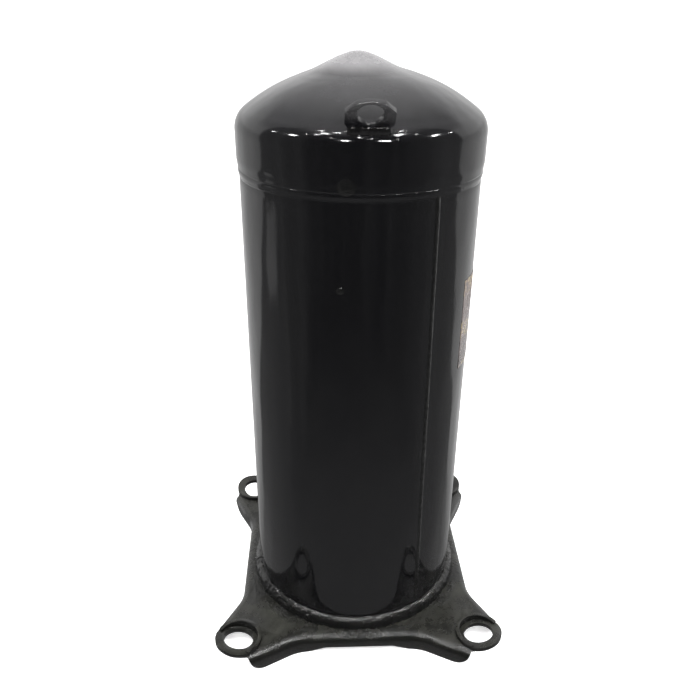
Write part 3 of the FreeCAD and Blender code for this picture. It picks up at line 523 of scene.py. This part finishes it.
def boss_lift(point, depth):
    """Height of the cap's skin with the conical boss blended softly into the crown.
    depth is how far this skin lies below the outer one."""
    d = math.hypot(point.x - BOSS_X, point.y)
    if d > BOSS_REACH:
        return point.z
    fall = BOSS_SLOPE * (math.sqrt(d * d + BOSS_ROUND ** 2) - BOSS_ROUND)
    gap = CAP_TOP - depth - fall - point.z
    return point.z + 0.5 * (gap + math.sqrt(gap * gap + BOSS_BLEND ** 2))


def ripple(point, scale, amount):
    return amount * noise.noise(point * scale)


def smooth_step(t):
    t = min(max(t, 0.0), 1.0)
    return t * t * (3 - 2 * t)


def make_cap():
    """Drawn cap: a lip drawn in to the shell, skirt, knuckle, crown, and the boss at the top."""
    lip_tall = TAPER_TOP - SKIRT_LOW
    lip = [(LIP_R + (CAP_R - LIP_R) * smooth_step(i / 10), SKIRT_LOW + lip_tall * i / 10)
           for i in range(10)]
    outer = dome_profile(CAP_R, KNUCKLE_R, CROWN_R, TAPER_TOP, 22)
    inner = dome_profile(CAP_R - WALL, KNUCKLE_R - WALL, CROWN_R - WALL, SKIRT_LOW, 14)
    outside = len(lip) + len(outer)

    def shape(point, angle, index):
        depth = 0.0 if index < outside else WALL
        if point.z > KNUCKLE_Z:
            point = Vector((point.x, point.y, boss_lift(point, depth)))
        out = Vector((point.x, point.y, 0))
        if out.length < 1e-6:
            return point
        return point + out.normalized() * ripple(point, 18.0, 0.18 * MM)
    obj = mesh_object("cap_skin", lathe(lip + outer + inner[::-1], 288, shape))
    return finish_piece(obj, "top_cap")


def make_shell():
    neck_low, neck_high = 361.6 * MM, 366.2 * MM
    neck_r = CAP_R - WALL - 0.05 * MM
    profile = (spaced((SHELL_R, PLATE_TOP), (SHELL_R, neck_low), 60)
               + spaced((SHELL_R, neck_low), (neck_r, neck_high), 4)
               + spaced((neck_r, neck_high), (neck_r, SHELL_TOP), 3)
               + [(neck_r, SHELL_TOP), (neck_r - WALL, SHELL_TOP), (neck_r - WALL, neck_high)]
               + spaced((SHELL_R - WALL, neck_low), (SHELL_R - WALL, PLATE_TOP), 20)
               + [(SHELL_R - WALL, PLATE_TOP)])

    def shape(point, angle, index):
        out = Vector((point.x, point.y, 0)).normalized()
        return point + out * ripple(Vector((point.x, point.y, point.z * 0.3)), 16.0, 0.22 * MM)
    obj = mesh_object("shell_skin", lathe(profile, 288, shape))
    return finish_piece(obj, "shell_body")


def bead(name, node, profile, segments, pitch, depth, rough, slot=None):
    """Weld bead round the axis: the overlapping scales of a moving pool, one every pitch and depth
    tall, under lumps of the size rough."""
    middle_r = sum(p[0] for p in profile) / len(profile)
    middle_z = sum(p[1] for p in profile) / len(profile)
    scales = FULL_TURN * middle_r / pitch

    def shape(point, angle, index):
        out = Vector((point.x, point.y, 0)).normalized()
        r, z = math.hypot(point.x, point.y), point.z
        away = Vector((r - middle_r, z - middle_z))
        phase = (angle / FULL_TURN * scales + 0.8 * noise.noise(Vector((angle * 6, 0, 3)))) % 1.0
        lift = depth * (abs(phase - 0.5) * 2 - 0.5) + rough * noise.noise(point * 520) \
            + rough * 1.4 * noise.noise(point * 130)
        if away.length > 1e-7:
            away.normalize()
        return point + out * away.x * lift + Vector((0, 0, away.y * lift))
    obj = mesh_object(name, lathe(profile, segments, shape))
    return finish_piece(obj, node, slot)


def make_cap_weld():
    """Filled joint below the cap's lip, following the soft step from the lip down to the shell."""
    low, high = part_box("cap_weld")
    tall = high.z - low.z
    step = LIP_R - SHELL_R
    profile = [(SHELL_R - 0.6 * MM, low.z + 0.9 * MM), (SHELL_R, low.z)]
    profile += [(SHELL_R + step * smooth_step(i / 9), low.z + tall * i / 12) for i in range(1, 12)]
    profile += [(LIP_R - 0.02 * MM, high.z), (SHELL_R - 0.6 * MM, high.z)]
    return bead("cap_weld_bead", "cap_weld", profile, 720, 9.0 * MM, 0.02 * MM, 0.06 * MM,
                "paint_cap")


def make_base_weld():
    low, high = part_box("base_weld")
    foot = high.x - SHELL_R
    tall = high.z - low.z
    profile = [(SHELL_R - 0.4 * MM, low.z - 0.3 * MM)]
    for i in range(13):
        t = i / 12 * math.pi / 2
        profile.append((SHELL_R + foot * math.cos(t) ** 1.25, low.z + tall * math.sin(t) ** 1.25))
    profile.append((SHELL_R - 0.4 * MM, high.z))
    return bead("base_weld_bead", "base_weld", profile, 900, 5.5 * MM, 0.35 * MM, 0.75 * MM)


SEAM_TOP = 363.5 * MM
SEAM_LOW = PLATE_TOP + 7.0 * MM
SEAM_AZIMUTH_TOP = math.radians(31.9)
SEAM_AZIMUTH_LOW = math.radians(34.5)
SEAM_HALF_WIDTH = 2.4 * MM
SEAM_HEIGHT = 1.0 * MM
SEAM_SUNK = 0.25 * MM       # the ridge's edges lie this far below the shell's surface


def make_seam():
    """Longitudinal weld of the rolled shell: a narrow ridge with fine cross ripples."""
    bm = bmesh.new()
    rows, across = 420, 9
    previous = None
    for i in range(rows + 1):
        t = i / rows
        z = SEAM_TOP + (SEAM_LOW - SEAM_TOP) * t
        azimuth = SEAM_AZIMUTH_TOP + (SEAM_AZIMUTH_LOW - SEAM_AZIMUTH_TOP) * t
        fade = min(1.0, t * 60 + 0.2)
        row = []
        for j in range(across):
            s = j / (across - 1) * 2 - 1
            wander = 0.25 * MM * noise.noise(Vector((0, 0, z * 40)))
            angle = azimuth + (s * SEAM_HALF_WIDTH + wander) / SHELL_R
            grain = noise.noise(Vector((s, 4.0, z * 300)))
            scale = 1 + 0.18 * math.sin(z / (1.1 * MM)) + 0.25 * grain
            lift = SEAM_HEIGHT * fade * (1 - s * s) * scale - SEAM_SUNK
            r = SHELL_R + lift
            row.append(bm.verts.new((r * math.sin(angle), -r * math.cos(angle), z)))
        if previous:
            for j in range(across - 1):
                bm.faces.new((previous[j], previous[j + 1], row[j + 1], row[j]))
        previous = row
    geometry = bmesh.ops.extrude_face_region(bm, geom=bm.faces[:])
    moved = [v for v in geometry["geom"] if isinstance(v, bmesh.types.BMVert)]
    for vert in moved:
        flat = Vector((vert.co.x, vert.co.y, 0))
        vert.co -= flat.normalized() * 0.8 * MM
    obj = mesh_object("shell_seam", bm)
    return finish_piece(obj, None, "paint_weld", "housing")


LABEL_START = math.radians(58.0)
LABEL_END = math.radians(108.0)


def make_label():
    """Thin curved film on the side of the shell."""
    low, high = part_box("nameplate")
    under, face = SHELL_R + 0.04 * MM, SHELL_R + 0.3 * MM
    bm = bmesh.new()
    columns = 60
    loops = []
    for i in range(columns + 1):
        angle = LABEL_START + (LABEL_END - LABEL_START) * i / columns
        loop = []
        for r, z in ((under, low.z), (face, low.z), (face, high.z), (under, high.z)):
            loop.append(bm.verts.new((r * math.sin(angle), -r * math.cos(angle), z)))
        loops.append(loop)
    for a, b in zip(loops, loops[1:]):
        for j in range(4):
            k = (j + 1) % 4
            bm.faces.new((a[j], b[j], b[k], a[k]))
    bm.faces.new(loops[0])
    bm.faces.new(loops[-1][::-1])
    return finish_piece(mesh_object("nameplate_film", bm), "nameplate")


def make_spring():
    """The relief valve's spring, which shortens as the poppet is pushed down onto it; here it only
    gets rounded edges and a mesh of its own.
    """
    spring = dressed("relief_valve_spring", 0.03 * MM)
    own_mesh(spring)


make_cap()
make_shell()
make_cap_weld()
make_base_weld()
make_seam()
make_label()
make_spring()
for node_name, edge in (("base_plate", 0.5), ("lifting_lug", 0.4), ("terminal_cover", 0.5),
                        ("terminal_fence", 0.3), ("suction_stub", 0.4), ("discharge_stub", 0.3),
                        ("plug_welds", 0.1), ("lug_weld", 0.2), ("stub_welds", 0.1),
                        ("bottom_cap", 0.3), ("bottom_weld", 0.3)):
    dressed(node_name, edge * MM)

for node_name, obj in NODES.items():
    if not obj.hide_render:
        obj.data.materials.clear()
        obj.data.materials.append(MATERIALS[SLOT_OF[node_name]])


# ------------------------------------------------------------------ room, light and camera

def make_world():
    """Bright walls at the sides and back, a dark room in front, a bright ceiling overhead.
    Looked at directly it is plain white, as behind a cut-out picture."""
    world = bpy.data.worlds.new("room")
    bpy.context.scene.world = world
    world.use_nodes = True
    tree = world.node_tree
    background = tree.nodes["Background"]
    place = tree.nodes.new("ShaderNodeTexCoord")
    split = tree.nodes.new("ShaderNodeSeparateXYZ")
    tree.links.new(place.outputs["Generated"], split.inputs[0])

    def calc(operation, a, b=0.0):
        node = tree.nodes.new("ShaderNodeMath")
        node.operation = operation
        for socket, value in zip(node.inputs, (a, b)):
            if isinstance(value, (int, float)):
                socket.default_value = value
            else:
                tree.links.new(value, socket)
        return node.outputs[0]

    def fade(value, low, high, a, b):
        node = tree.nodes.new("ShaderNodeMapRange")
        node.interpolation_type = "SMOOTHSTEP"
        for key, number in (("From Min", low), ("From Max", high), ("To Min", a), ("To Max", b)):
            node.inputs[key].default_value = number
        tree.links.new(value, node.inputs["Value"])
        return node.outputs["Result"]

    x, y, z = split.outputs
    deg = math.radians
    turn = calc("ARCTAN2", x, calc("MULTIPLY", y, -1.0))
    on_right = calc("GREATER_THAN", turn, 0.0)
    azimuth = calc("ADD", calc("ABSOLUTE", turn), calc("MULTIPLY", on_right, deg(7)))
    elevation = calc("ARCSINE", z)
    below = calc("MAXIMUM", calc("SUBTRACT", calc("MULTIPLY", elevation, -1.0), deg(12)), 0.0)
    corner = calc("SUBTRACT", azimuth, calc("MULTIPLY", below, 1.3))

    streaks = tree.nodes.new("ShaderNodeTexNoise")
    streaks.noise_dimensions = "1D"
    streaks.inputs["Scale"].default_value = 3.4
    streaks.inputs["Detail"].default_value = 5.0
    tree.links.new(turn, streaks.inputs["W"])
    # ahead it is dark, growing brighter towards the sides, with faint upright streaks
    front = calc("ADD", fade(azimuth, deg(25), deg(92), 0.02, 0.24),
                 fade(streaks.outputs["Fac"], 0.42, 0.75, 0.0, 0.09))
    # the bright side walls begin here, and further back lower down
    side = fade(corner, deg(100), deg(104), 0.0, 1.0)
    near_floor = fade(elevation, deg(-44), deg(-19), 0.26, 0.0)
    dark_room = calc("MAXIMUM", front, near_floor)
    bright_wall = calc("ADD", fade(elevation, deg(-44), deg(-30), 0.26, 0.80),
                       fade(elevation, deg(4), deg(12), 0.0, 0.30))
    bright_wall = calc("MULTIPLY", bright_wall, fade(elevation, deg(22), deg(42), 1.0, 0.60))
    lower = calc("ADD", calc("MULTIPLY", dark_room, calc("SUBTRACT", 1.0, side)),
                 calc("MULTIPLY", bright_wall, side))
    ceiling = fade(elevation, deg(46), deg(68), 0.0, 1.0)
    room = calc("ADD", calc("MULTIPLY", lower, calc("SUBTRACT", 1.0, ceiling)),
                calc("MULTIPLY", ceiling, 0.92))

    # a window low on the left, seen in the side of the shell
    across = calc("MULTIPLY", fade(turn, deg(-103), deg(-100), 0.0, 1.0),
                  fade(turn, deg(-92), deg(-86), 1.0, 0.0))
    upright = calc("MULTIPLY", fade(elevation, deg(-24), deg(-21), 0.0, 1.0),
                   fade(elevation, deg(-17), deg(-15), 1.0, 0.0))
    window = calc("MULTIPLY", calc("MULTIPLY", across, upright), 0.40)
    seen = tree.nodes.new("ShaderNodeLightPath").outputs["Is Camera Ray"]
    lit = calc("ADD", room, window)
    plain = calc("MULTIPLY", seen, calc("SUBTRACT", 1.0, lit))
    tree.links.new(calc("ADD", lit, plain), background.inputs["Strength"])
    background.inputs["Color"].default_value = (1.0, 1.0, 1.0, 1.0)


def make_floor():
    bm = bmesh.new()
    bmesh.ops.create_grid(bm, x_segments=8, y_segments=8, size=60.0)
    floor = mesh_object("floor", bm)
    g = Graph("floor_paper")
    soft = g.noise(2.0, 2, 0.5)
    g.set("Base Color", g.blend(g.spread(soft, 0.3, 0.7), (0.93, 0.93, 0.93), (0.95, 0.95, 0.95)))
    g.set("Roughness", 0.9)
    g.set("Emission Color", (1.0, 1.0, 1.0))
    g.set("Emission Strength", 0.55)
    floor.data.materials.append(g.material)
    floor.visible_glossy = False


def area_light(name, place, aim, size, watts, glossy=True, size_y=None):
    data = bpy.data.lights.new(name, "AREA")
    data.shape = "RECTANGLE"
    data.size = size
    data.size_y = size_y or size
    data.energy = watts
    light = bpy.data.objects.new(name, data)
    bpy.context.scene.collection.objects.link(light)
    light.location = place
    direction = Vector(aim) - Vector(place)
    light.rotation_euler = direction.to_track_quat("-Z", "Y").to_euler()
    light.visible_glossy = glossy
    return light


# Larger lamps stand in a fan, the same on the left and the right, the middle one of a side higher.
FAN_START = 18              # degrees from straight ahead
FAN_STEP = 27               # degrees from one lamp to the next
FAN_ELEVATIONS = (33, 54, 33)
FAN_WIDTH = 0.22
FAN_WATTS = 8.0

# small lamps, as azimuth and elevation in degrees, width in metres, and watts
SMALL_LAMPS = (
    (-60, 44, 0.05, 1.0), (-31, 40, 0.05, 1.0), (33, 38, 0.05, 1.0), (60, 46, 0.05, 1.0),
    (-90, 30, 0.06, 1.2), (88, 30, 0.06, 1.2), (-12, 58, 0.06, 1.5), (12, 63, 0.06, 1.5),
    (-28, 70, 0.06, 1.5), (30, 72, 0.06, 1.5), (-62, 62, 0.06, 1.5), (64, 64, 0.06, 1.5),
    (-50, 48, 0.07, 1.6), (-35, 62, 0.07, 1.6), (-5, 47, 0.07, 1.6), (8, 42, 0.07, 1.6),
    (25, 55, 0.07, 1.6), (40, 50, 0.07, 1.6),
)
LAMP_DISTANCE = 2.2
LAMP_AIM = Vector((0, 0, 0.38))


def room_lamp(azimuth, elevation, width, watts):
    """A lamp of the room, wider than tall, in a direction given in degrees."""
    a, e = math.radians(azimuth), math.radians(elevation)
    way = Vector((math.sin(a) * math.cos(e), -math.cos(a) * math.cos(e), math.sin(e)))
    area_light("lamp", LAMP_AIM + way * LAMP_DISTANCE, LAMP_AIM, width, watts, size_y=width * 0.5)


def make_lights():
    area_light("overhead", (0.0, 0.3, 3.2), (0, 0, 0.1), 4.0, 95, glossy=False)
    for side in (-1, 1):
        for i, elevation in enumerate(FAN_ELEVATIONS):
            room_lamp(side * (FAN_START + FAN_STEP * i), elevation, FAN_WIDTH, FAN_WATTS)
    for azimuth, elevation, width, watts in SMALL_LAMPS:
        room_lamp(azimuth, elevation, width, watts)


def make_camera():
    """A camera close above, looking down and a little to the right."""
    pitch, yaw, roll = math.radians(26.8), math.radians(-2.76), math.radians(0.70)
    forward = Vector((-math.sin(yaw) * math.cos(pitch), math.cos(yaw) * math.cos(pitch),
                      -math.sin(pitch)))
    right = Vector((math.cos(yaw), math.sin(yaw), 0))
    up = right.cross(forward)
    right_rolled = right * math.cos(roll) + up * math.sin(roll)
    up_rolled = up * math.cos(roll) - right * math.sin(roll)
    data = bpy.data.cameras.new("camera")
    data.lens = 37.37
    data.sensor_width = 36.0
    data.clip_start = 0.01
    data.clip_end = 200
    camera = bpy.data.objects.new("camera", data)
    bpy.context.scene.collection.objects.link(camera)
    turn = Matrix((right_rolled, up_rolled, -forward)).transposed().to_4x4()
    camera.matrix_world = Matrix.Translation((-0.0300, -0.5068, 0.4778)) @ turn
    bpy.context.scene.camera = camera


make_world()
make_floor()
make_lights()
make_camera()
bpy.context.scene.view_settings.view_transform = "Standard"
